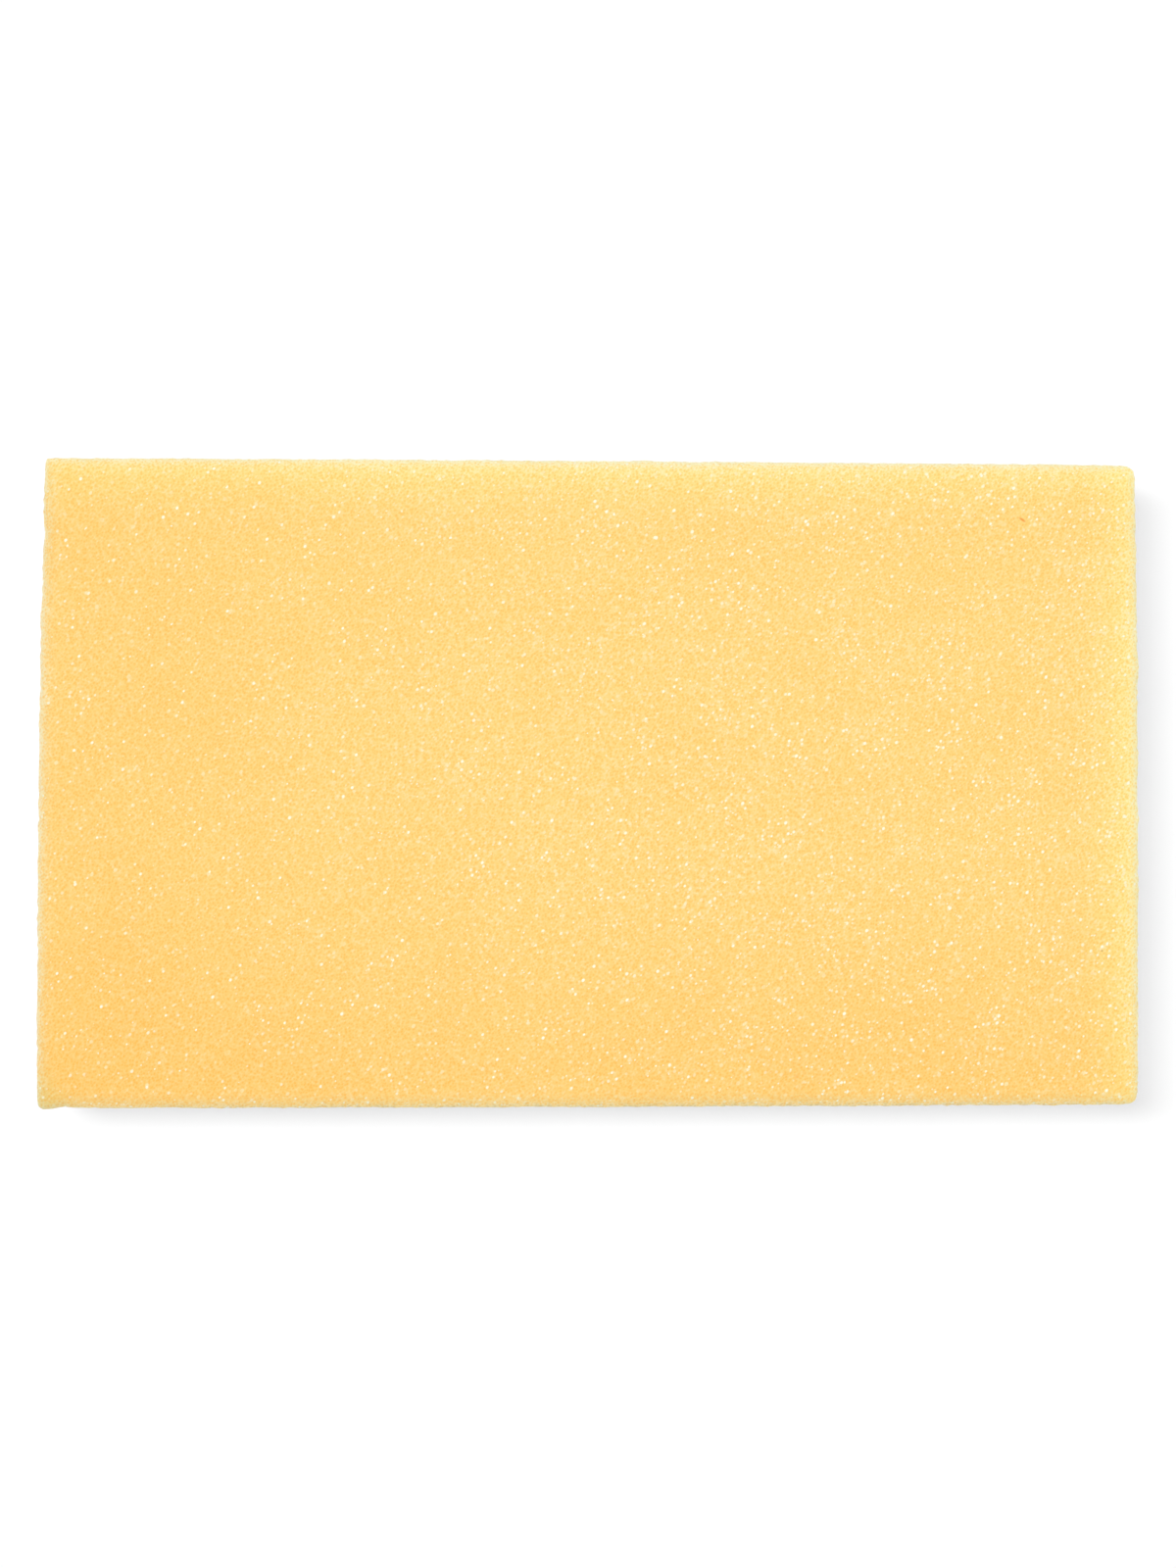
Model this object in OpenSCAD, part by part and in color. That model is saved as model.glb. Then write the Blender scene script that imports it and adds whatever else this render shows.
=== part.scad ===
// Household cleaning sponge: one block, cut with a knife from fine-celled soft foam.
// The block lies on its big face. The knife left it a little out of square, its sides
// bow outwards by a few tenths of a millimetre, its upright corners are slightly
// rounded, its rims are eased and its top face swells a little towards the middle.
// All sizes are in millimetres. The origin is on the ground under the middle of the
// block, +X runs along its length to the right end, +Y to the back side and +Z up.

/* [Block] */
// Length of the front side, between the corners it would have if they were sharp
front_length = 120.2; // [90:0.1:200]
// Width of the left end, between the corners it would have if they were sharp
left_width = 71; // [50:0.1:130]
// Thickness from the flat base to the highest point of the top face
thickness = 30; // [14:0.5:60]

/* [Out of square] */
// How far the left end's back corner stands in from its front corner
left_end_lean = 0.9; // [-3:0.1:3]
// How far the right end's back corner stands in from its front corner
right_end_lean = 0.3; // [-3:0.1:3]
// How far the back side falls towards the front on its way to the right end
back_side_fall = 0.8; // [-3:0.1:3]
// How far the front side rises towards the back on its way to the right end
front_side_rise = 0.4; // [-3:0.1:3]

/* [Bowed sides] */
// How far the front side bows outwards at its middle
front_bow = 0.08; // [0:0.02:2]
// How far the right end bows outwards at its middle
right_bow = 0.16; // [0:0.02:2]
// How far the back side bows outwards at its middle
back_bow = 0.08; // [0:0.02:2]
// How far the left end bows outwards at its middle
left_bow = 0.26; // [0:0.02:2]

/* [Upright corners] */
// Radius of the front left corner, seen from above
front_left_radius = 0.7; // [0.2:0.1:6]
// Radius of the front right corner, seen from above
front_right_radius = 1.3; // [0.2:0.1:6]
// Radius of the back right corner, seen from above
back_right_radius = 1; // [0.2:0.1:6]
// Radius of the back left corner, seen from above
back_left_radius = 0.6; // [0.2:0.1:6]

/* [Rims and top face] */
// How far in from the walls the top rim begins to fall away
top_rim_width = 1.9; // [0.4:0.1:5]
// How far below the top face's edge the walls begin
top_rim_drop = 1.4; // [0.4:0.1:5]
// Radius of the bottom rim
bottom_rim_radius = 0.9; // [0.2:0.1:4]
// Growth of the corner radius for each millimetre that an outline stands in on a rim
corner_softening = 0.4; // [0:0.05:0.8]
// Swell of the top face, from its edge to its middle
top_swell = 0.4; // [0.1:0.05:2]

/* [Hidden] */

foam_colour = [1, 0.83, 0.46];

// Steps round a corner, along a side, across a rim and from the top face's edge inwards
corner_steps = 6;
side_steps = 14;
rim_steps = 6;
face_steps = 7;
// Share of the top face's size at which its last ring closes
last_ring_share = 0.12;
// The higher this power, the nearer to its edge the top face bends down
swell_power = 5;
// Spare depth below the ground, so that the base is cut off flat
cut_depth = 1;

// The corners in plan, were they sharp, anticlockwise from the front left one
corners = [
    [0, 0],
    [front_length, front_side_rise],
    [front_length - right_end_lean, left_width - back_side_fall],
    [left_end_lean, left_width]
];
corner_radii = [front_left_radius, front_right_radius, back_right_radius, back_left_radius];
// The sides that leave those corners: front, right end, back and left end
bows = [front_bow, right_bow, back_bow, left_bow];
side_count = len(corners);

wall_outline = outline(0);
middle = (lowest(wall_outline) + highest(wall_outline)) / 2;
edge_height = thickness - top_swell;
shoulder_height = edge_height - top_rim_drop;

// The smallest and the largest of each coordinate over a list of points
function lowest(points) = [min([for (p = points) p.x]), min([for (p = points) p.y])];
function highest(points) = [max([for (p = points) p.x]), max([for (p = points) p.y])];

// The next side or corner, and the one before, round the block
function next(i) = (i + 1) % side_count;
function previous(i) = (i + side_count - 1) % side_count;

// The direction of a side, and the direction that points into the block from it
function along(i) = (corners[next(i)] - corners[i]) / norm(corners[next(i)] - corners[i]);
function inward(i) = [-along(i).y, along(i).x];

// A corner's arc on an outline that stands in from the walls by an inset.
// Its centre lies one radius in from both sides, and it turns from one side to the next.
function corner_arc(i, inset) =
    let (
        radius = corner_radii[i] + corner_softening * inset,
        before = inward(previous(i)),
        after = inward(i),
        centre = corners[i] + (inset + radius) * (before + after) / (1 + before * after),
        start = atan2(-before.y, -before.x),
        turn = acos(before * after)
    )
    [for (k = [0:corner_steps]) centre + radius * direction(start + turn * k / corner_steps)];

function direction(angle) = [cos(angle), sin(angle)];

// The points of a side between its two arcs, bowed outwards as a parabola
function side_run(i, inset) =
    let (
        start = corner_arc(i, inset)[corner_steps],
        end = corner_arc(next(i), inset)[0]
    )
    [for (k = [1:side_steps - 1])
        let (t = k / side_steps)
        start + t * (end - start) - 4 * t * (1 - t) * bows[i] * inward(i)];

// The whole outline at an inset: arc, side, arc, side and so on round the block
function outline(inset) =
    [for (i = [0:side_count - 1]) each concat(corner_arc(i, inset), side_run(i, inset))];

// An outline lifted to a height, moved over the origin and drawn in by a share
function ring(inset, height, share = 1) =
    [for (p = outline(inset)) [share * (p.x - middle.x), share * (p.y - middle.y), height]];

// The rings of the bottom rim, from the base up to the foot of the walls
bottom_rim = [
    for (k = [0:rim_steps])
        let (angle = 90 * k / rim_steps)
        ring(bottom_rim_radius * (1 - sin(angle)), bottom_rim_radius * (1 - cos(angle)))
];

// The rings of the top rim, from the head of the walls in to the top face's edge
top_rim = [
    for (k = [0:rim_steps])
        let (angle = 90 * k / rim_steps)
        ring(top_rim_width * (1 - cos(angle)), shoulder_height + top_rim_drop * sin(angle))
];

// The rings of the top face, closer together near its edge, where it bends most
top_face = [
    for (k = [1:face_steps])
        let (share = 1 - (1 - last_ring_share) * pow(k / face_steps, 2))
        ring(top_rim_width, thickness - top_swell * pow(share, swell_power), share)
];

// A ring below the ground, which the flat cut takes off again
foot = [ring(bottom_rim_radius, -cut_depth)];

rings = concat(foot, bottom_rim, top_rim, top_face);

// A skin carried over rings of equally many points, closed by a flat cap at each end
module loft(rings) {
    count = len(rings[0]);
    last = len(rings) - 1;
    bands = [
        for (r = [0:last - 1], i = [0:count - 1])
            let (
                a = r * count + i,
                b = r * count + (i + 1) % count,
                c = b + count,
                d = a + count
            )
            each [[a, d, b], [b, d, c]]
    ];
    base_cap = [for (i = [0:count - 1]) i];
    top_cap = [for (i = [count - 1:-1:0]) last * count + i];
    polyhedron(
        points = [for (r = rings) each r],
        faces = concat([base_cap], bands, [top_cap])
    );
}

module foam_block() {
    color(foam_colour)
        difference() {
            loft(rings);
            translate([0, 0, -2 * cut_depth])
                linear_extrude(2 * cut_depth)
                    square(2 * norm([front_length, left_width]), center = true);
        }
}

foam_block();
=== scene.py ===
# %% [markdown]
# A cleaning sponge, as a lesson in making a very plain thing look real.
#
# The real object is one block of fine-celled foam, cut with a knife and lying on its big
# face. There is nothing to hide behind: no seams, no print, no second colour. What the eye
# reads as sponge is a slightly wrong outline, soft rims, a fine grain of cut cells, and
# the pale glints of the cell skins that happen to face the light.
#
# A cube with a bevel and a noise texture would be quick, and would look like cheese.
# Instead the skin is worked out as a surface, so that the leaning ends, the bowed sides
# and the ragged cut are true shapes, and the grain is then added as a material, with the
# glints painted into its colour as highlights.

# %% Tools
import math

import bpy
import numpy as np
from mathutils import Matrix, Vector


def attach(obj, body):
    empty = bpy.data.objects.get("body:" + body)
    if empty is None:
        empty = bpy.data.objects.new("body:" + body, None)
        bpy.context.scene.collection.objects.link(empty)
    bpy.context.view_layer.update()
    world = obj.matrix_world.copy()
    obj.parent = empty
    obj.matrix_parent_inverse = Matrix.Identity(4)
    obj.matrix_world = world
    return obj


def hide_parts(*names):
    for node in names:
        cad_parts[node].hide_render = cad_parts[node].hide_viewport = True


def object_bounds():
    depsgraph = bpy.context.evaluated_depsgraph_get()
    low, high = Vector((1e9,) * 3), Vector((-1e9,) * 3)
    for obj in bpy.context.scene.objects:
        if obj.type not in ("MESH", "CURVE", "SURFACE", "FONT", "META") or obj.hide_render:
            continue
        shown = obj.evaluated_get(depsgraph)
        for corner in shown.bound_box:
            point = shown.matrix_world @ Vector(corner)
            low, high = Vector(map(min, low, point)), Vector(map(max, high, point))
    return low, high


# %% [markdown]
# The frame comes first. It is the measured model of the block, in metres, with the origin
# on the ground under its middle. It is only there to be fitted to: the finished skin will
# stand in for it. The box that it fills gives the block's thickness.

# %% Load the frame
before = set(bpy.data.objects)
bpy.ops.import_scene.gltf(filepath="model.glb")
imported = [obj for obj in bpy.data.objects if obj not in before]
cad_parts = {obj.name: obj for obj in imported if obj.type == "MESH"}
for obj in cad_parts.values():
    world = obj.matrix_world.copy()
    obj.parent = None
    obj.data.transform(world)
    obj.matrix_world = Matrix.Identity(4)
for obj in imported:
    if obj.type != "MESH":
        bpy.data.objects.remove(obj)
frame_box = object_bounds()
print("frame box in metres", [tuple(round(x, 5) for x in corner) for corner in frame_box])

# %% [markdown]
# The outline of the block is a four-sided figure that is nearly, but not quite, a
# rectangle. Foam moves under the knife, so the ends lean, the long sides converge and each
# side bows outwards a little. These are the same sizes as the measured model has.
#
# The corners are listed anticlockwise from the front left one. A side is named after the
# corner that it leaves: the front is 0, the right end 1, the back 2 and the left end 3.
# Wherever a list has four numbers for the sides, it has them in this order.

# %% The block's outline
MM = 0.001
front_length = 120.2 * MM
left_width = 71.0 * MM
left_end_lean = 0.9 * MM
right_end_lean = 0.3 * MM
back_side_fall = 0.8 * MM
front_side_rise = 0.4 * MM
bows = np.array([0.08, 0.16, 0.08, 0.26]) * MM
corner_radii = np.array([0.7, 1.3, 1.0, 0.6]) * MM
corner_softening = 0.4

corners = np.array([
    [0, 0],
    [front_length, front_side_rise],
    [front_length - right_end_lean, left_width - back_side_fall],
    [left_end_lean, left_width],
])
along = np.roll(corners, -1, axis=0) - corners
along /= np.linalg.norm(along, axis=1, keepdims=True)
inward = np.stack([-along[:, 1], along[:, 0]], axis=1)
facing = np.unwrap(np.arctan2(-inward[:, 1], -inward[:, 0]))
corner_turns = np.arccos(np.sum(inward * np.roll(inward, 1, axis=0), axis=1))
print("sides face", np.degrees(facing).round(2), "degrees")

# %% [markdown]
# How fine should the skin be? The cut edge of the foam wanders by a tenth of a millimetre
# every one to three millimetres, so points about half a millimetre apart can show that in
# the outline. The cells are finer still, and are left to the material. The corners are
# tight, so each gets extra points.

# %% How finely the skin is divided
arc_steps = 4
run_steps = np.array([212, 122, 212, 122])
side_steps = run_steps + 2 * arc_steps
ring_steps = side_steps.sum()
side_starts = np.concatenate([[0], np.cumsum(side_steps)])
print("points round the block", ring_steps)

# %% [markdown]
# One side of the outline runs from the middle of one corner to the middle of the next:
# half an arc, a bowed run, and half an arc again. Starting in the middle of a corner
# keeps each corner in one piece, and later gives the faces their four corner points.
#
# The functions take a whole array of insets at once. An inset is how far an outline
# stands in from the walls, which is how the rims are drawn in. A corner's radius grows
# with the inset, so the rims have softer corners than the walls.


# %% Points of one side, at many insets
def arc(corner, inset, turn):
    """Points on the arc of a corner. The centre lies the inset plus the radius in from both
    sides, and a point is the centre plus the radius times the direction of its turn."""
    radius = corner_radii[corner] + corner_softening * inset
    before = inward[corner - 1]
    after = inward[corner]
    reach = (inset + radius) / (1 + before @ after)
    centre = corners[corner] + reach[:, None] * (before + after)
    direction = np.stack([np.cos(turn), np.sin(turn)], axis=-1)
    return centre[:, None] + radius[:, None, None] * direction


def side_points(side, inset):
    """One side of the outline for each inset: half an arc, then the straight line between
    the arcs plus a parabola that is as high as the bow at its middle, then half an arc."""
    following = (side + 1) % len(corners)
    half = np.arange(arc_steps) / arc_steps
    leaving = arc(side, inset, facing[side] - corner_turns[side] / 2 * (1 - half))
    arriving = arc(following, inset, facing[side] + corner_turns[following] / 2 * half)
    start = arc(side, inset, facing[side:side + 1])
    end = arriving[:, :1]
    share = (np.arange(run_steps[side]) / run_steps[side])[:, None]
    run = start + share * (end - start) - 4 * share * (1 - share) * bows[side] * inward[side]
    return np.concatenate([leaving, run, arriving], axis=1)


def outlines(inset):
    """All four sides for each inset, anticlockwise, as an array of insets by points."""
    return np.concatenate([side_points(side, inset) for side in range(len(corners))], axis=1)


wall_outline = outlines(np.zeros(1))[0]
middle = (wall_outline.min(axis=0) + wall_outline.max(axis=0)) / 2
outline_size = np.ptp(wall_outline, axis=0)
print("outline, millimetres", (outline_size / MM).round(2))

# %% [markdown]
# The skin round the block is that outline carried along a profile: up the small bottom rim,
# up the wall, and over the wider top rim. Both rims are quarter turns, so a row of the
# profile is an inset and a height, and the whole skin is one grid of rows by points.

# %% The skin round the block
thickness = frame_box[1].z - frame_box[0].z
bottom_rim_radius = 0.9 * MM
top_rim_width = 1.9 * MM
top_rim_drop = 1.4 * MM
top_swell = 0.4 * MM
bottom_steps = 4
wall_steps = 46
top_steps = 6

edge_height = thickness - top_swell
shoulder_height = edge_height - top_rim_drop
bottom_turn = np.linspace(0, math.pi / 2, bottom_steps + 1)
top_turn = np.linspace(0, math.pi / 2, top_steps + 1)
wall_heights = np.linspace(bottom_rim_radius, shoulder_height, wall_steps + 1)[1:-1]
row_insets = np.concatenate([
    bottom_rim_radius * (1 - np.sin(bottom_turn)),
    np.zeros(len(wall_heights)),
    top_rim_width * (1 - np.cos(top_turn)),
])
row_heights = np.concatenate([
    bottom_rim_radius * (1 - np.cos(bottom_turn)),
    wall_heights,
    shoulder_height + top_rim_drop * np.sin(top_turn),
])
skin_plan = outlines(row_insets) - middle
skin_heights = np.broadcast_to(row_heights[:, None, None], skin_plan.shape[:2] + (1,))
skin = np.concatenate([skin_plan, skin_heights], axis=-1)
print("rows and points of the skin", skin.shape[:2])

# %% [markdown]
# The top and the base are patches stretched across the skin's last and first rows. A point
# inside is blended from the four sides of its row, which is called a Coons patch. It needs
# no poles and leaves no long thin faces. The top face then swells by a few tenths, flat
# over most of its width and falling away near its sides, which a high power gives.


# %% The two big faces
def patch(ring):
    """A grid across a ring of points. A point is the blend of front and back, plus the blend
    of left and right, less the blend of the four corners, each by its share of the way."""
    first, second, third = side_starts[1:4]
    front = ring[:first + 1]
    right = ring[first:second + 1]
    back = ring[second:third + 1][::-1]
    left = np.concatenate([ring[third:], ring[:1]])[::-1]
    across = (front[:, 0] - front[0, 0]) / (front[-1, 0] - front[0, 0])
    upward = (left[:, 1] - left[0, 1]) / (left[-1, 1] - left[0, 1])
    u = across[None, :, None]
    v = upward[:, None, None]
    lengthwise = (1 - v) * front[None] + v * back[None]
    widthwise = (1 - u) * left[:, None] + u * right[:, None]
    front_corners = (1 - u) * front[0] + u * front[-1]
    back_corners = (1 - u) * back[0] + u * back[-1]
    all_corners = (1 - v) * front_corners + v * back_corners
    return lengthwise + widthwise - all_corners, u[..., 0], v[..., 0]


swell_power = 5
base_face, _, _ = patch(skin[0])
top_face, top_u, top_v = patch(skin[-1])
flatness_u = 1 - np.abs(2 * top_u - 1) ** swell_power
flatness_v = 1 - np.abs(2 * top_v - 1) ** swell_power
top_face[..., 2] = edge_height + top_swell * flatness_u * flatness_v
print("rows and points of a big face", top_face.shape[:2])

# %% [markdown]
# Now the grids become one closed mesh. The points on the border of a face are the skin's
# own points, so the patches and the skin share them and there is no seam. Every grid is
# cut into squares by the same small function, which always goes round a square the same
# way, so that all the squares face outwards.


# %% Number the points and join them
def squares(grid):
    """The four corners of each square of a grid: here, to the right, up and right, up."""
    corners_of_squares = [grid[:-1, :-1], grid[:-1, 1:], grid[1:, 1:], grid[1:, :-1]]
    joined = np.stack(corners_of_squares, axis=2)
    return joined.reshape((-1, 4) + grid.shape[2:])


def patch_numbers(ring_numbers, first_inner):
    """Point numbers of a face: its border is a ring of the skin, and its inside follows on."""
    first, second, third = side_starts[1:4]
    rows = side_steps[1] + 1
    columns = side_steps[0] + 1
    numbers = np.empty((rows, columns), int)
    numbers[0] = ring_numbers[:first + 1]
    numbers[:, -1] = ring_numbers[first:second + 1]
    numbers[-1] = ring_numbers[second:third + 1][::-1]
    numbers[:, 0] = np.append(ring_numbers[third:], ring_numbers[0])[::-1]
    inner = np.arange((rows - 2) * (columns - 2)).reshape(rows - 2, columns - 2)
    numbers[1:-1, 1:-1] = first_inner + inner
    return numbers


row_count = len(row_heights)
skin_numbers = np.arange(row_count * ring_steps).reshape(row_count, ring_steps)
inner_top = top_face[1:-1, 1:-1].reshape(-1, 3)
inner_base = base_face[1:-1, 1:-1].reshape(-1, 3)
points = np.concatenate([skin.reshape(-1, 3), inner_top, inner_base])
top_numbers = patch_numbers(skin_numbers[-1], skin_numbers.size)
base_numbers = patch_numbers(skin_numbers[0], skin_numbers.size + len(inner_top))
closed_numbers = np.concatenate([skin_numbers, skin_numbers[:, :1]], axis=1)
wall_numbers = [
    closed_numbers[:, side_starts[side]:side_starts[side + 1] + 1]
    for side in range(len(corners))
]
grids = wall_numbers + [top_numbers, base_numbers[:, ::-1]]
quads = np.concatenate([squares(numbers) for numbers in grids])
print("points", len(points), "triangles", 2 * len(quads))

# %% [markdown]
# The knife leaves foam with small lumps. They are made with gradient noise, the usual
# building block for natural roughness: every corner of a lattice gets a random direction,
# and a point blends how far it lies along the directions of the eight corners round it.
# It is worked out for all points at once, and the seed is fixed, so it never changes.


# %% Gradient noise
def noise(places, size, seed):
    """Gradient noise with lumps about one size across. Each lattice corner gives the dot
    product of its random direction with the way to the point, and the eight corners are
    blended with the weights six t to the fifth, less fifteen t fourth, plus ten t cubed."""
    random = np.random.default_rng(seed)
    table_size = 256
    shuffle = random.permutation(table_size)
    directions = random.normal(size=(table_size, 3))
    directions /= np.linalg.norm(directions, axis=1, keepdims=True)
    scaled = places / size
    cell = np.floor(scaled).astype(int)
    within = scaled - cell
    fade = within ** 3 * (within * (6 * within - 15) + 10)
    total = np.zeros(len(places))
    for corner in np.ndindex(2, 2, 2):
        at = (cell + corner) % table_size
        chosen = shuffle[at[:, 0]]
        chosen = shuffle[(chosen + at[:, 1]) % table_size]
        chosen = shuffle[(chosen + at[:, 2]) % table_size]
        dot = np.sum(directions[chosen] * (within - corner), axis=1)
        weight = np.prod(np.where(corner, fade, 1 - fade), axis=1)
        total += weight * dot
    return total


# %% [markdown]
# The lumps push the skin out and in along its own direction, so that direction is needed
# first. The normal of a square is the cross product of its diagonals, and a point takes
# the sum of the squares round it.


# %% Directions of the skin
def point_normals(places, squares_of_points):
    """Unit normals: for each square the cross product of its diagonals, summed at its points."""
    a, b, c, d = (places[squares_of_points[:, k]] for k in range(4))
    square_normals = np.cross(c - a, d - b)
    flat = squares_of_points.ravel()
    repeated = np.repeat(square_normals, 4, axis=0)
    summed = np.stack([np.bincount(flat, repeated[:, k], len(places)) for k in range(3)], axis=1)
    return summed / np.linalg.norm(summed, axis=1, keepdims=True)


normals = point_normals(points, quads)
print("the skin faces outwards", bool(np.sum(normals * (points - points.mean(axis=0))) > 0))

# %% [markdown]
# How near is each point to an edge of the block? The top edge is taken to run along the
# head of the walls, where the block looks widest from above, and the bottom edge along
# their foot. A point above the head is as far from the edge as it is in from the
# side, and one below it is as far as it is down the wall. The nearest edge counts.
#
# Each point also gets a share of every side, by how near it is. What differs from side to
# side can then be blended, so that nothing changes suddenly at a corner.

# %% Distance from the edges
outer_corners = corners - middle
to_sides = np.stack([
    (points[:, :2] - outer_corners[side]) @ inward[side]
    for side in range(len(corners))
], axis=1)
to_sides = np.clip(to_sides, 0, None)
nearest_side, next_side = np.sort(to_sides, axis=1)[:, :2].T
below_head = np.clip(shoulder_height - points[:, 2], 0, None)
above_foot = np.clip(points[:, 2] - bottom_rim_radius, 0, None)
to_top_edge = np.hypot(nearest_side, below_head)
to_bottom_edge = np.hypot(nearest_side, above_foot)
to_upright_edge = np.hypot(nearest_side, next_side)
edge_distance = np.minimum(np.minimum(to_top_edge, to_bottom_edge), to_upright_edge)
blending = 2.0 * MM
nearness = np.exp(-to_sides / blending)
nearness /= nearness.sum(axis=1, keepdims=True)
print("furthest from an edge, millimetres", round(edge_distance.max() / MM, 2))

# %% [markdown]
# The big faces are nearly smooth, with low lumps some millimetres wide. The edges are
# rougher, because the knife tears the cells open there, so they get smaller and higher
# lumps, which fade away from the edge. The ends are more ragged than the long sides. A few
# single marks of the knife follow: a foot that stands out at the front left corner with a
# notch beside it, a step in the left end, a bump on the right end and a worn corner.
#
# Lumps are listed as their size and height, and a mark as its place, reach and height. The
# base is pressed flat by the block's own weight, so nothing goes below the ground.

# %% Roughen the cut
face_lumps = {7.0 * MM: 0.08 * MM, 2.6 * MM: 0.06 * MM}
edge_lumps = {3.0 * MM: 0.1 * MM, 1.2 * MM: 0.08 * MM, 0.6 * MM: 0.36 * MM}
face_seed = 1
edge_seed = 11
side_raggedness = np.array([0.6, 0.85, 0.55, 0.8])
lump_reach = 1.4 * MM
nicks = {
    "foot at the front left corner": ((-59.0 * MM, -35.4 * MM), 0.9 * MM, 0.12 * MM),
    "notch in the front edge": ((-57.2 * MM, -35.5 * MM), 0.6 * MM, -0.12 * MM),
    "step in the left end": ((-60.0 * MM, 27.2 * MM), 1.2 * MM, -0.2 * MM),
    "bump on the right end": ((60.1 * MM, 12.7 * MM), 1.6 * MM, 0.14 * MM),
    "worn back right corner": ((59.4 * MM, 34.6 * MM), 1.3 * MM, -0.2 * MM),
}


def lumps(sizes_and_heights, first_seed):
    """Noise of several sizes, each times its own height, added together."""
    return sum(
        height * noise(points, size, first_seed + step)
        for step, (size, height) in enumerate(sizes_and_heights.items())
    )


raggedness = (nearness @ side_raggedness) * np.exp(-edge_distance / lump_reach)
lift = lumps(face_lumps, face_seed) + lumps(edge_lumps, edge_seed) * raggedness
for nick_place, nick_reach, nick_height in nicks.values():
    away = np.linalg.norm(points[:, :2] - np.array(nick_place), axis=1)
    lift += nick_height * np.exp(-(away / nick_reach) ** 2)
rough_points = points + normals * lift[:, None]
rough_points[:, 2] = np.maximum(rough_points[:, 2], 0)
print("lumps from", round(lift.min() / MM, 3), "to", round(lift.max() / MM, 3), "millimetres")

# %% [markdown]
# Four things happen at the edges of cut foam. Light enters from both sides, so an edge
# glows paler than a face; that glow is painted light, a paler colour. The cut struts stand up
# as a pale fuzz on the very edge, partly their own pale colour and partly painted light that
# they catch. Along the top front edge, and more faintly along that of the right end, a few
# open cells show as darker specks, which are painted shade. How strong each is, and how far
# in it reaches, differs from side to side in the photograph, and all die away inwards. The
# fourth is painted shade on a corner, the front left one, which turns it a little khaki.
#
# Each look is worked out for every point here, and the material only has to read it. Of
# each pair of lists the first is how strong it is and the second how far in it reaches, in
# millimetres, for the front, the right end, the back and the left end.


# %% Looks of the edges
def from_edges(distance, side_amounts, side_reaches):
    """Amounts for the four sides, each falling off with the distance from the edge: divided
    by the number e for every reach, which is also given for each side."""
    amount = nearness @ np.array(side_amounts)
    reach = nearness @ np.array(side_reaches) * MM
    return amount * np.exp(-distance / reach)


# Painted shade on the front left corner, which turns it khaki there.
shaded_corner_place = np.array([-60.0, -35.3]) * MM
shaded_corner_reach = 3.1 * MM
shaded_corner_amount = 0.62
from_shaded_corner = np.sum((points[:, :2] - shaded_corner_place) ** 2, axis=1)
speck_start = -50 * MM
speck_fade = 12 * MM
specked = np.clip((points[:, 0] - speck_start) / speck_fade, 0, 1)
# Painted shade: darker specks along the top front edge and the right end.
specks = from_edges(to_top_edge, [0.27, 0.12, 0.0, 0.0], [0.22, 0.2, 0.2, 0.2])
edge_looks = {
    "edge_glow": from_edges(edge_distance, [0.6, 0.5, 0.44, 0.36], [0.7, 1.9, 1.8, 1.1]),
    "edge_fuzz": from_edges(edge_distance, [0.28, 0.45, 0.68, 0.46], [0.4, 0.45, 0.42, 0.42]),
    "edge_specks": specks * specked,
    "worn_corner": shaded_corner_amount * np.exp(-from_shaded_corner / shaded_corner_reach ** 2),
}
for name, values in edge_looks.items():
    print(name, "up to", values.max().round(2))

# %% [markdown]
# A flat map of the skin is laid out too, as if the block were a box cut open. The
# finished colours can then be painted onto one picture with little waste: the two big
# faces above each other, the long walls below them and the short walls at their side. All
# of it is divided by the size of the map, so that it lies between nought and one.

# %% Open the skin out flat
map_size = np.array([158.0, 216.0]) * MM
map_gap = 2.0 * MM
profile_steps = np.hypot(np.diff(row_insets), np.diff(row_heights))
profile_length = np.concatenate([[0], np.cumsum(profile_steps)])
face_reach = np.abs(outer_corners).max(axis=0)
second_row = 2 * face_reach[1] + map_gap
long_walls = 2 * second_row
wall_tall = profile_length[-1] + map_gap
closed_outline = np.concatenate([wall_outline, wall_outline[:1]])


def face_map(face, start):
    """A big face seen from above, moved to its place on the map."""
    return face[..., :2] + face_reach + start


def wall_map(side, start, upright):
    """A wall rolled out flat: its length along the ring by its length along the profile."""
    ring = closed_outline[side_starts[side]:side_starts[side + 1] + 1]
    steps = np.linalg.norm(np.diff(ring, axis=0), axis=1)
    ring_length = np.concatenate([[0], np.cumsum(steps)])
    rows, columns = np.meshgrid(profile_length, ring_length, indexing="ij")
    flat = np.stack([rows, columns] if upright else [columns, rows], axis=-1)
    return flat + start


beside = 2 * face_reach[0] + map_gap
maps = [
    wall_map(0, np.array([0, long_walls]), False),
    wall_map(1, np.array([beside, 0]), True),
    wall_map(2, np.array([0, long_walls + wall_tall]), False),
    wall_map(3, np.array([beside, second_row]), True),
    face_map(top_face, np.array([0, 0])),
    face_map(base_face[:, ::-1], np.array([0, second_row])),
]
map_corners = np.concatenate([squares(flat) for flat in maps]) / map_size
map_points = map_corners.reshape(-1, 2)
print("map reaches", map_points.min(axis=0).round(3), map_points.max(axis=0).round(3))

# %% [markdown]
# Everything is ready to be handed to Blender: the points, the squares and the map. The
# looks of the edges travel with the points, as attributes.

# %% Make the mesh
foam_mesh = bpy.data.meshes.new("sponge_foam")
foam_mesh.from_pydata(rough_points, [], quads)
foam_mesh.shade_smooth()
flat_map = foam_mesh.uv_layers.new(name="OFBake")
flat_map.uv.foreach_set("vector", map_corners.astype(np.float32).ravel())
for name, values in edge_looks.items():
    attribute = foam_mesh.attributes.new(name, "FLOAT", "POINT")
    attribute.data.foreach_set("value", values.astype(np.float32))
foam_mesh.validate()
foam_mesh.update()
sponge = bpy.data.objects.new("sponge_foam", foam_mesh)
bpy.context.scene.collection.objects.link(sponge)
print("faces in the mesh", len(foam_mesh.polygons))

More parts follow.
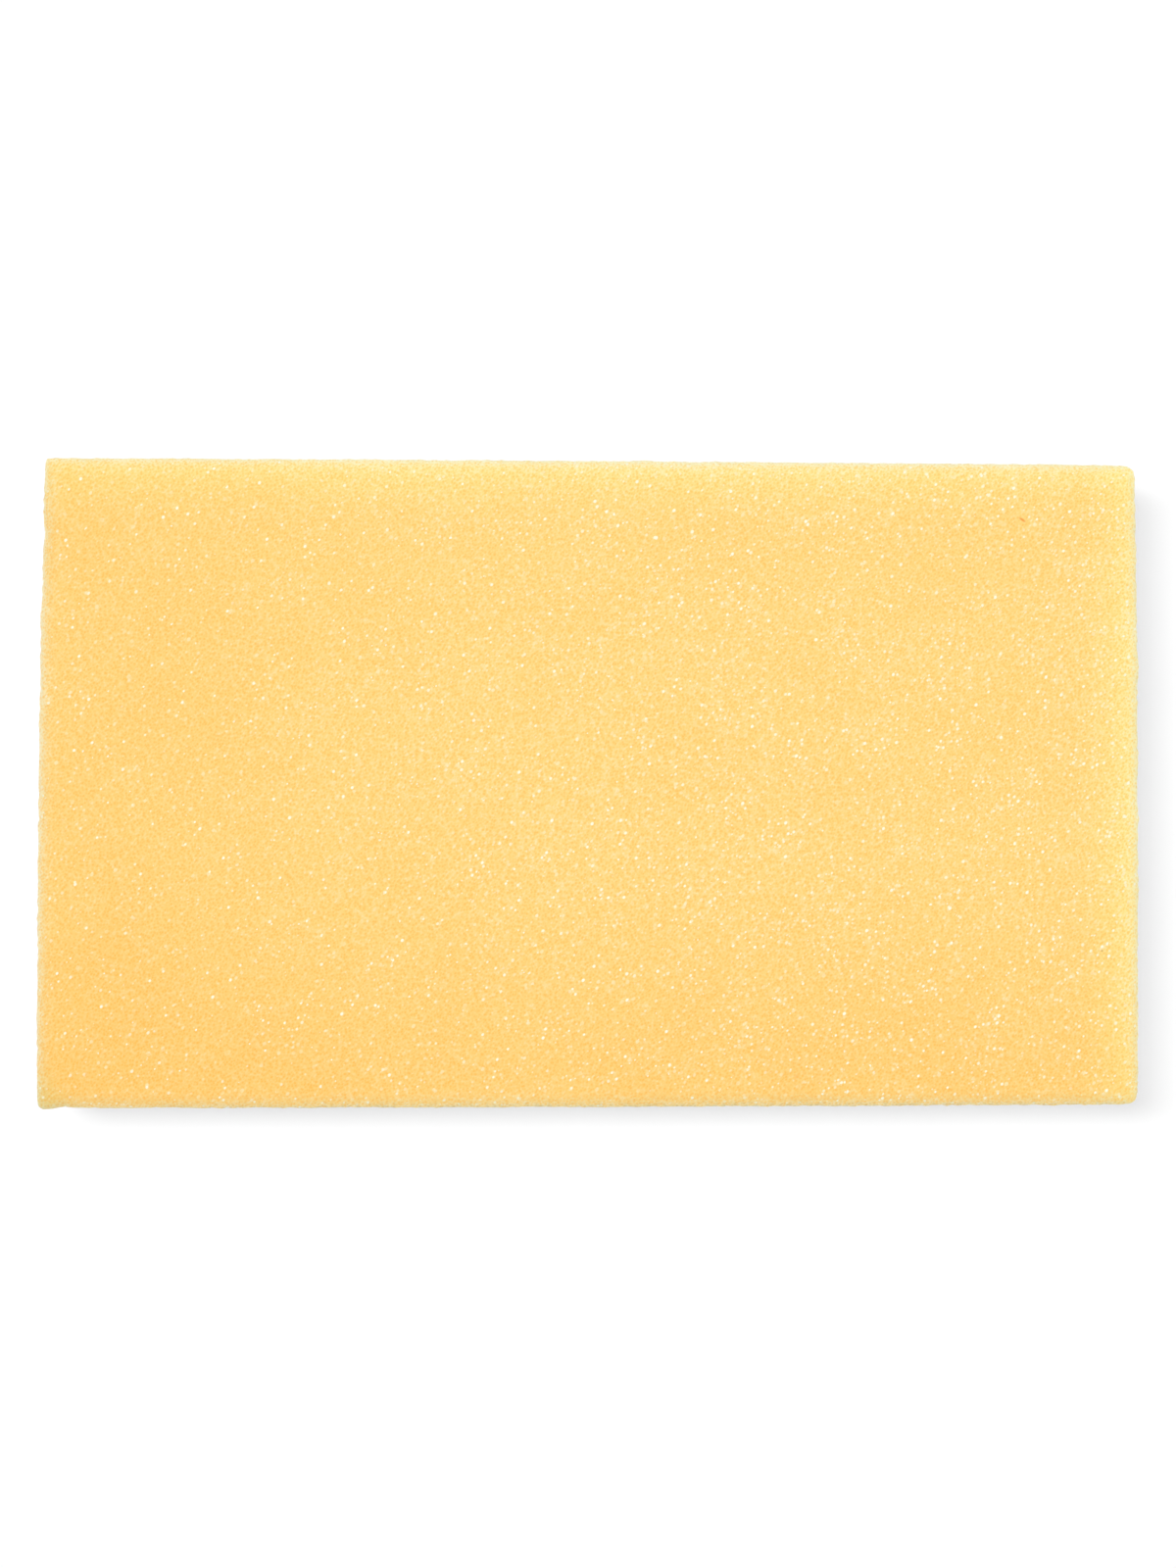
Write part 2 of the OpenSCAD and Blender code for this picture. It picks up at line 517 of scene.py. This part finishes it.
# %% [markdown]
# Materials next. A few small helpers keep the node code readable. The first turns a colour
# as a picture shows it, three numbers up to 255, into the linear light that shaders use.
# The second adds a node, sets it up and fills its sockets in one go, and the others use it
# for the three things that are wanted most: sums, smooth changes and mixes of colour.


# %% Helpers for materials
def linear(red, green, blue):
    """A picture's colour as linear light: below a small value a division, above it a power."""
    dark_limit = 0.04045
    dark_divisor = 12.92
    offset = 0.055
    power = 2.4
    shown = np.array([red, green, blue]) / 255
    dark = shown / dark_divisor
    bright = ((shown + offset) / (1 + offset)) ** power
    return (*np.where(shown <= dark_limit, dark, bright).tolist(), 1.0)


def put(tree, kind, values, **settings):
    """A new node. A value for a socket is a number, a colour or another node's output."""
    made = tree.nodes.new("ShaderNode" + kind)
    for name, setting in settings.items():
        setattr(made, name, setting)
    for socket, value in values.items():
        if isinstance(value, bpy.types.NodeSocket):
            tree.links.new(value, made.inputs[socket])
        else:
            made.inputs[socket].default_value = value
    return made


def maths(tree, operation, *values):
    """Two or three values joined by one operation."""
    return put(tree, "Math", dict(enumerate(values)), operation=operation).outputs[0]


def ramp(tree, value, start, end, low=0.0, high=1.0):
    """A smooth change from low to high while the value goes from start to end."""
    values = {"Value": value, "From Min": start, "From Max": end, "To Min": low, "To Max": high}
    return put(tree, "MapRange", values, interpolation_type="SMOOTHSTEP").outputs[0]


def mixed(tree, share, first, second, blend="MIX"):
    """The first colour, changed by a share: towards the second, or to their product. A Mix
    node's sockets for numbers and vectors come first, so those for colours are 6 and 7."""
    sockets = {0: share, 6: first, 7: second}
    return put(tree, "Mix", sockets, data_type="RGBA", blend_type=blend).outputs[2]


print("a middle grey as linear light", round(linear(128, 128, 128)[0], 3))

# %% [markdown]
# Every bubble of the foam will get chance numbers of its own. The colour that Voronoi
# noise gives to a bubble looks random, but it is the place of the bubble's middle within
# its square of space. Bubbles that a flat face cuts at the same height would share a
# number, and the face would turn patchy. White noise stirs the colour into new numbers.


# %% Chance numbers for bubbles
def chance_numbers(tree, bubbles):
    """Three even random numbers from zero to one for each bubble of a Voronoi noise."""
    sockets = {"Vector": bubbles.outputs["Color"]}
    stirred = put(tree, "TexWhiteNoise", sockets, noise_dimensions="3D")
    return put(tree, "SeparateColor", {0: stirred.outputs["Color"]}).outputs


# %% [markdown]
# What the foam's material needs more than once, or what has a clear name of its own, goes
# into node groups. A group has named inputs and outputs, like a function, and can be
# placed in a material as often as it is wanted, each time with other values.

# %% Helper for node groups
number = "NodeSocketFloat"
vector = "NodeSocketVector"


def group(name, inputs, outputs):
    """An empty node group with named inputs and outputs, and its two end nodes."""
    tree = bpy.data.node_groups.new(name, "ShaderNodeTree")
    for title, kind, default in inputs:
        socket = tree.interface.new_socket(title, in_out="INPUT", socket_type=kind)
        if default is not None:
            socket.default_value = default
    for title, kind in outputs:
        tree.interface.new_socket(title, in_out="OUTPUT", socket_type=kind)
    start = tree.nodes.new("NodeGroupInput")
    end = tree.nodes.new("NodeGroupOutput")
    return tree, start.outputs, end.inputs


# %% [markdown]
# The grain of cut foam. Voronoi noise scatters points through space and measures how far
# away the nearest one is, which is just how bubbles share out a block of foam. Where the
# skin cuts through a bubble's middle there is a deep pore, and far from all middles there
# is a strut. Each bubble also has a chance number of its own, so some come out paler, and
# a fine noise stands for the fibres that the knife has torn.
#
# The group gives the height of the cut and one tone, from deep orange pore to pale strut.
# The tone is the strut, the chance number and the fibres, each times its own weight.

# %% Node group: cut cells
cells, given, result = group(
    "cut_cells",
    [("Place", vector, None), ("Cells per metre", number, 2500.0)],
    [("Strut", number), ("Tone", number), ("Chance", number)],
)
pore_distance = 0.1
strut_distance = 0.8
fibres_per_cell = 1.2
strut_weight = 0.5
chance_weight = 0.2
fibre_weight = 0.6

bubbles = put(cells, "TexVoronoi", {"Vector": given["Place"], "Scale": given["Cells per metre"]})
chances = chance_numbers(cells, bubbles)
strut = ramp(cells, bubbles.outputs["Distance"], pore_distance, strut_distance)
fibre_scale = maths(cells, "MULTIPLY", given["Cells per metre"], fibres_per_cell)
fibres = put(cells, "TexNoise", {"Vector": given["Place"], "Scale": fibre_scale, "Detail": 1.0})
strut_part = maths(cells, "MULTIPLY", strut, strut_weight)
chance_part = maths(cells, "MULTIPLY", chances[0], chance_weight)
fibre_part = maths(cells, "MULTIPLY", fibres.outputs["Fac"], fibre_weight)
tone = maths(cells, "ADD", maths(cells, "ADD", strut_part, chance_part), fibre_part)
cells.links.new(strut, result["Strut"])
cells.links.new(tone, result["Tone"])
cells.links.new(chances[1], result["Chance"])
print("group", cells.name, "with", len(cells.nodes), "nodes")

# %% [markdown]
# The glints, painted highlights. Some bubbles keep a thin skin, and where one faces the light
# it shines like a pale dot; here that dot is painted into the colour, so it shows under
# any lamp. A bubble glints when its chance number is under the share that is asked for,
# and its other numbers set how big and how bright the dot is. A power a little above one
# makes dim dots somewhat commoner than bright ones.

# %% Node group: glints
glints, given, result = group(
    "glints",
    [("Place", vector, None), ("Cells per metre", number, 2000.0), ("Share", number, 0.3)],
    [("Glint", number)],
)
smallest_reach = 0.2
largest_reach = 0.42
core_share = 0.6
dimming_power = 1.2
dimmest = 0.25

bubbles = put(glints, "TexVoronoi", {"Vector": given["Place"], "Scale": given["Cells per metre"]})
chances = chance_numbers(glints, bubbles)
chosen = maths(glints, "LESS_THAN", chances[0], given["Share"])
reach = ramp(glints, chances[1], 0.0, 1.0, smallest_reach, largest_reach)
core = maths(glints, "MULTIPLY", reach, core_share)
disc = ramp(glints, bubbles.outputs["Distance"], reach, core)
dimmed = maths(glints, "POWER", chances[2], dimming_power)
brightness = maths(glints, "MULTIPLY_ADD", dimmed, 1 - dimmest, dimmest)
dot = maths(glints, "MULTIPLY", maths(glints, "MULTIPLY", disc, chosen), brightness)
glints.links.new(dot, result["Glint"])
print("group", glints.name, "with", len(glints.nodes), "nodes")

# %% [markdown]
# A few single marks are on the block: the painted shade of a tiny crease, a dark speck and
# an orange spot.
# One group makes them all. It is a soft spot round a centre. The centre, the reach along
# each direction and the turn of those directions are its inputs.

# %% Node group: a single mark
spot, given, result = group(
    "single_mark",
    [
        ("Place", vector, None),
        ("Centre", vector, None),
        ("Reach", vector, (1.0, 1.0, 1.0)),
        ("Turn", vector, None),
    ],
    [("Mark", number)],
)
solid_share = 0.3

moved = put(spot, "VectorMath", {0: given["Place"], 1: given["Centre"]}, operation="SUBTRACT")
turn_sockets = {"Vector": moved.outputs[0], "Rotation": given["Turn"]}
turned = put(spot, "VectorRotate", turn_sockets, rotation_type="EULER_XYZ")
scaled = put(spot, "VectorMath", {0: turned.outputs[0], 1: given["Reach"]}, operation="DIVIDE")
far = put(spot, "VectorMath", {0: scaled.outputs[0]}, operation="LENGTH").outputs["Value"]
spot.links.new(ramp(spot, far, 1.0, solid_share), result["Mark"])
print("group", spot.name, "with", len(spot.nodes), "nodes")

# %% [markdown]
# The foam itself. One warm yellow is the middle tone. The tone of the cells moves it
# towards a deep orange in the pores and towards a pale straw on the struts.
#
# The patterns read object coordinates, which are metres on the block itself, so they go
# round the corners without a seam and stay put from every side. The cells are drawn out
# a little along one diagonal, as foam is by its rise, so the place is first turned to
# that diagonal and squeezed along it.

# %% Material: foam
foam = bpy.data.materials.new("foam")
foam.use_nodes = True
tree = foam.node_tree
tree.nodes.clear()
rise_turn = math.radians(50)
rise_stretch = (1.3, 1.0, 1.0)
place = put(tree, "TexCoord", {}).outputs["Object"]
rise_sockets = {"Vector": place, "Rotation": (0, 0, rise_turn), "Scale": rise_stretch}
slanted = put(tree, "Mapping", rise_sockets, vector_type="TEXTURE").outputs[0]


def use(name, values):
    """One of the groups made above, placed in the foam material."""
    return put(tree, "Group", values, node_tree=bpy.data.node_groups[name]).outputs


body_colour = linear(255, 215, 128)
pore_colour = linear(255, 193, 82)
strut_colour = linear(255, 231, 176)
grain_per_metre = 3900.0
pore_tone = 0.3
middle_tone = 0.7
strut_tone = 1.15
pore_amount = 0.65
strut_amount = 0.76
grain = use("cut_cells", {"Place": slanted, "Cells per metre": grain_per_metre})
in_pores = ramp(tree, grain["Tone"], middle_tone, pore_tone, 0.0, pore_amount)
on_struts = ramp(tree, grain["Tone"], middle_tone, strut_tone, 0.0, strut_amount)
colour = mixed(tree, in_pores, body_colour, pore_colour)
colour = mixed(tree, on_struts, colour, strut_colour)
print("nodes for the grain", len(tree.nodes))

# %% [markdown]
# The slow changes. Seen from above, the block is more orange towards its left end and its
# front side, and a lighter lemon in a wide band along the back and the right end. These
# are tints that multiply the colour. A mix towards orange would wash the grain out, but
# a product keeps pores and struts as far apart as they were.
#
# A change is listed as its axis, where on it the change starts and where it is complete,
# how strong it is then, and its tint. A slow noise adds a few orange clouds.

# %% Slow changes of colour
orange_tint = (1.0, 0.872, 0.69, 1.0)
lemon_tint = (1.0, 1.188, 1.177, 1.0)
slow_changes = {
    "left end": ("X", -10 * MM, -62 * MM, 0.42, orange_tint),
    "front side": ("Y", -2 * MM, -40 * MM, 0.62, orange_tint),
    "right end": ("X", 52 * MM, 62 * MM, 0.5, lemon_tint),
    "back side": ("Y", 28 * MM, 37 * MM, 0.45, lemon_tint),
}
axes = put(tree, "SeparateXYZ", {0: place}).outputs
for axis, start, complete, amount, tint in slow_changes.values():
    share = ramp(tree, axes[axis], start, complete, 0.0, amount)
    colour = mixed(tree, share, colour, tint, "MULTIPLY")

cloud_scale = 90.0
cloud_start = 0.4
cloud_full = 0.7
cloud_amount = 0.15
cloud_noise = put(tree, "TexNoise", {"Vector": place, "Scale": cloud_scale, "Detail": 3.0})
clouds = ramp(tree, cloud_noise.outputs["Fac"], cloud_start, cloud_full, 0.0, cloud_amount)
colour = mixed(tree, clouds, colour, orange_tint, "MULTIPLY")
print("slow changes", list(slow_changes), "and clouds")

# %% [markdown]
# The looks of the edges were worked out for every point, and come in as attributes. The
# glow is painted light, a tint again, so the grain shows through it. The fuzz is a mix towards
# a near white, because the struts that stand up hide what is behind them and catch the light,
# so it is partly painted light. It follows the grain too: more of it on pale struts and less
# over pores, or the rims would look painted. The khaki corner is painted shade, a tint.

# %% Looks of the edges in the material
painted_glow_tint = (1.0, 1.28, 1.72, 1.0)
fuzz_and_highlight_colour = linear(255, 247, 212)
corner_shade_tint = (0.8, 0.98, 1.08, 1.0)
dark_tone = 0.4
pale_tone = 1.0
fuzz_over_pores = 0.5
fuzz_on_struts = 1.5
edge = {
    name: put(tree, "Attribute", {}, attribute_name=name).outputs["Fac"]
    for name in edge_looks
}
fuzz_grain = ramp(tree, grain["Tone"], dark_tone, pale_tone, fuzz_over_pores, fuzz_on_struts)
fuzz_share = maths(tree, "MULTIPLY", edge["edge_fuzz"], fuzz_grain)
# Painted light: the glow and the lit part of the fuzz. Painted shade: the corner tint.
colour = mixed(tree, edge["edge_glow"], colour, painted_glow_tint, "MULTIPLY")
colour = mixed(tree, fuzz_share, colour, fuzz_and_highlight_colour)
colour = mixed(tree, edge["worn_corner"], colour, corner_shade_tint, "MULTIPLY")
print("looks read from the points", list(edge))

# %% [markdown]
# The painted glints are not spread evenly: they gather in loose clusters, and the right half
# of the block has about twice as many as the left. Slow noise and the length along the block
# set the share of bubbles that glint. A second layer has larger and fainter painted dots,
# which are skins a little below the cut.

# %% How many bubbles glint
cluster_scale = 240.0
sparse_noise = 0.35
dense_noise = 0.75
sparse_share = 0.2
dense_share = 0.85
left_place = -50 * MM
right_place = 30 * MM
left_factor = 0.43
right_factor = 1.23
cluster_noise = put(tree, "TexNoise", {"Vector": place, "Scale": cluster_scale, "Detail": 2.0})
cluster_level = cluster_noise.outputs["Fac"]
cluster_share = ramp(tree, cluster_level, sparse_noise, dense_noise, sparse_share, dense_share)
side_factor = ramp(tree, axes["X"], left_place, right_place, left_factor, right_factor)
glint_share = maths(tree, "MULTIPLY", cluster_share, side_factor)
print("share of bubbles from", sparse_share * left_factor, "to", dense_share * right_factor)

# %% Two layers of painted glints
painted_glint_colour = linear(255, 251, 228)
painted_faint_glint_colour = linear(255, 238, 194)
glints_per_metre = 2100.0
faint_per_metre = 1700.0
faint_factor = 1.3
faint_extra = 0.1
faint_strength = 0.62
faint_share = maths(tree, "ADD", maths(tree, "MULTIPLY", glint_share, faint_factor), faint_extra)
faint_sockets = {"Place": slanted, "Cells per metre": faint_per_metre, "Share": faint_share}
glint_sockets = {"Place": slanted, "Cells per metre": glints_per_metre, "Share": glint_share}
faint = use("glints", faint_sockets)["Glint"]
glint = use("glints", glint_sockets)["Glint"]
# Both layers are painted highlights, mixed into the colour.
colour = mixed(tree, maths(tree, "MULTIPLY", faint, faint_strength), colour, painted_faint_glint_colour)
colour = mixed(tree, glint, colour, painted_glint_colour)
print("nodes with the glints", len(tree.nodes))

# %% [markdown]
# The darker details lie over all the rest. Open cells are bubbles of the grain, picked by
# chance, along the edges where the attribute allows them, and their darkness is painted
# shade. The single marks are listed one by one: each has its centre and its reach on the top
# face in millimetres, a turn, a strength and a colour.

# %% Open cells and single marks
open_cell_shade_colour = linear(165, 150, 116)
open_chance = 0.4
# Painted shade: open cells along the edges are darkened in the colour.
shaded_open_cells = maths(tree, "LESS_THAN", grain["Chance"], open_chance)
shaded_open_cells = maths(tree, "MULTIPLY", shaded_open_cells, edge["edge_specks"])
colour = mixed(tree, shaded_open_cells, colour, open_cell_shade_colour)

mark_depth = 1.0 * MM
marks = {
    # The crease is a thin darker line of painted shade.
    "crease": ((47.4, 28.7), (0.6, 0.2), 0.6, 1.0, linear(246, 160, 66)),
    "dark speck": ((56.1, -18.3), (0.16, 0.16), 0.0, 1.0, linear(214, 170, 96)),
    "orange spot": ((22.8, -32.0), (0.45, 0.4), 0.0, 0.6, linear(252, 186, 88)),
}
for mark_centre, mark_reach, mark_turn, strength, mark_colour in marks.values():
    mark = use("single_mark", {
        "Place": place,
        "Centre": (mark_centre[0] * MM, mark_centre[1] * MM, thickness),
        "Reach": (mark_reach[0] * MM, mark_reach[1] * MM, mark_depth),
        "Turn": (0.0, 0.0, mark_turn),
    })["Mark"]
    colour = mixed(tree, maths(tree, "MULTIPLY", mark, strength), colour, mark_colour)
print("single marks", list(marks))

# %% [markdown]
# The relief of the cells is a bump: pores go in, struts stay up. Foam is matt, with a
# faint sheen at its edges where the cut struts stand up like fluff, and only the glinting
# skins are smooth.

# %% Finish the foam
cell_relief = 0.1 * MM
foam_roughness = 0.9
skin_roughness = 0.5
relief = {"Strength": 0.22, "Distance": cell_relief, "Height": grain["Strut"]}
foam_shader = put(tree, "BsdfPrincipled", {
    "Base Color": colour,
    "Roughness": ramp(tree, glint, 0.0, 1.0, foam_roughness, skin_roughness),
    "Normal": put(tree, "Bump", relief).outputs[0],
    "Specular IOR Level": 0.25,
    "Sheen Weight": 0.06,
    "Sheen Roughness": 0.6,
    "Sheen Tint": (1.0, 0.95, 0.8, 1.0),
})
put(tree, "OutputMaterial", {"Surface": foam_shader.outputs[0]})
foam_mesh.materials.append(foam)
print("foam material with", len(tree.nodes), "nodes")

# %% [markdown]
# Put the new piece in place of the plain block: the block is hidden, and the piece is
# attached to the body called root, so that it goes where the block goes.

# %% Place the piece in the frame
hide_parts("foam_block")
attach(sponge, "root")
print(sponge.name, "stands for the plain block")

# %% [markdown]
# The photograph's ground is clean white, and its shadow has no yellow in it, because the
# picture was cut out. So the ground shouldn't pick up light that bounces off the foam:
# the block is hidden from bounced light, though it still casts its shadow.

# %% Keep the foam's yellow off the ground
sponge.visible_diffuse = False
print("bounced light sees the block:", sponge.visible_diffuse)

# %% [markdown]
# The ground is a plain white sheet. It has to look pure white, yet keep the block's shadow.
# More light would bleach the sponge, so the sheet adds a little glow of its own, and
# only for rays that come straight from the camera, where nothing else is lit by it. It
# lies a hair below the block's base, because two faces in one place would flicker.

# %% The ground
ground_half = 3.0
ground_drop = 0.05 * MM
ground_mesh = bpy.data.meshes.new("ground")
ground_corners = np.array([[-1, -1, 0], [1, -1, 0], [1, 1, 0], [-1, 1, 0]]) * ground_half
ground_corners[:, 2] = -ground_drop
ground_mesh.from_pydata(ground_corners, [], [[0, 1, 2, 3]])
ground = bpy.data.objects.new("ground", ground_mesh)
bpy.context.scene.collection.objects.link(ground)

paper = bpy.data.materials.new("white_paper")
paper.use_nodes = True
paper_tree = paper.node_tree
paper_tree.nodes.clear()
paper_colour = (0.85, 0.85, 0.85, 1.0)
paper_glow = 0.165
lit_paper = put(paper_tree, "BsdfDiffuse", {"Color": paper_colour}).outputs[0]
seen = put(paper_tree, "LightPath", {}).outputs["Is Camera Ray"]
glow_strength = maths(paper_tree, "MULTIPLY", seen, paper_glow)
glow = put(paper_tree, "Emission", {"Strength": glow_strength}).outputs[0]
both = put(paper_tree, "AddShader", {0: lit_paper, 1: glow}).outputs[0]
put(paper_tree, "OutputMaterial", {"Surface": both})
ground_mesh.materials.append(paper)
print("ground", 2 * ground_half, "metres wide")

# %% [markdown]
# The light is that of a white studio tent. A soft key from above, a little to the left and
# the back, casts the only shadow, a narrow one to the right and the front. It stands so far
# off that all of the block has the same light. It is twice as long as it is wide, because
# the shadow on the right is softer than the one in front. It hangs level, so its light
# leaves it at a slant and lands at a slant, and the height of its direction counts twice.
#
# The walls of the tent are four wide lamps, one on each side, that cast no shadow. The
# key's share is what it gives to a face that looks up, and a wall's share what it gives to
# a face that looks at that wall. All of them and the world together light a face that
# looks up at about the level of one, at which a colour comes out as it is written.

# %% The key
key_share = 0.29
key_distance = 6.0
key_length = 1.284
key_width = 0.648
key_direction = np.array([-0.152, 0.089, 1.0])
key_direction /= np.linalg.norm(key_direction)
key_data = bpy.data.lights.new("key", "AREA")
key_data.shape = "ELLIPSE"
key_data.size = key_length
key_data.size_y = key_width
key_data.energy = key_share * math.pi ** 2 * key_distance ** 2 / key_direction[2] ** 2
key = bpy.data.objects.new("key", key_data)
key.location = key_direction * key_distance
bpy.context.scene.collection.objects.link(key)
print("key at", key_data.energy, "watts")

# %% The walls of the tent
tent_rise = math.radians(30)
tent_width = math.radians(50)
tent_walls = {"right": (0, 0.432), "back": (90, 0.353), "left": (180, 0.345), "front": (270, 0.273)}
for name, (side_degrees, share) in tent_walls.items():
    tent_data = bpy.data.lights.new("tent_" + name, "SUN")
    tent_data.energy = share * math.pi
    tent_data.angle = tent_width
    tent_data.use_shadow = False
    tent = bpy.data.objects.new("tent_" + name, tent_data)
    tent.rotation_euler = (0, math.pi / 2 - tent_rise, math.radians(side_degrees))
    bpy.context.scene.collection.objects.link(tent)
print("walls of the tent", list(tent_walls))

# %% [markdown]
# The world adds only a trace of light to the block. What looks at it straight, such as the
# camera beyond the ground's edge or a mirror, sees plain white instead.

# %% The world
world_level = 0.03
white = (1.0, 1.0, 1.0, 1.0)
world = bpy.data.worlds.new("tent")
world.use_nodes = True
bpy.context.scene.world = world
world_tree = world.node_tree
world_tree.nodes.clear()
paths = put(world_tree, "LightPath", {}).outputs
direct = maths(world_tree, "MAXIMUM", paths["Is Camera Ray"], paths["Is Glossy Ray"])
direct = maths(world_tree, "MAXIMUM", direct, paths["Is Transmission Ray"])
level = ramp(world_tree, direct, 0.0, 1.0, world_level, 1.0)
sky = put(world_tree, "Background", {"Color": white, "Strength": level}).outputs[0]
put(world_tree, "OutputWorld", {"Surface": sky})
print("world at", world_level)

# %% [markdown]
# The camera looks straight down. The photograph's frame is 1200 by 1600 pixels, and the
# block spans the pixels named below, so one pixel is the block's length over that span. A
# long lens keeps the walls hidden under the rim, as they are in the photograph. The widest
# outline that the camera sees is the top of the wall, so the distance is measured to it.

# %% Camera
frame_pixels = np.array([1200, 1600])
seen_low = np.array([38, 467])
seen_high = np.array([1161, 1131])
lens = 150.0
sensor = 36.0
furthest_seen = 10.0
metres_per_pixel = outline_size[0] / (seen_high[0] - seen_low[0])
camera_distance = lens / sensor * frame_pixels[1] * metres_per_pixel
off_centre = (seen_low + seen_high) / 2 - frame_pixels / 2
camera_data = bpy.data.cameras.new("camera")
camera_data.lens = lens
camera_data.sensor_width = sensor
camera_data.clip_end = furthest_seen
camera = bpy.data.objects.new("camera", camera_data)
camera.location = (
    -off_centre[0] * metres_per_pixel,
    off_centre[1] * metres_per_pixel,
    shoulder_height + camera_distance,
)
bpy.context.scene.collection.objects.link(camera)
bpy.context.scene.camera = camera
bpy.context.scene.view_settings.view_transform = "Standard"
print("one pixel is", round(metres_per_pixel / MM, 4), "millimetres")
print("the camera is", round(camera_distance, 3), "metres away")
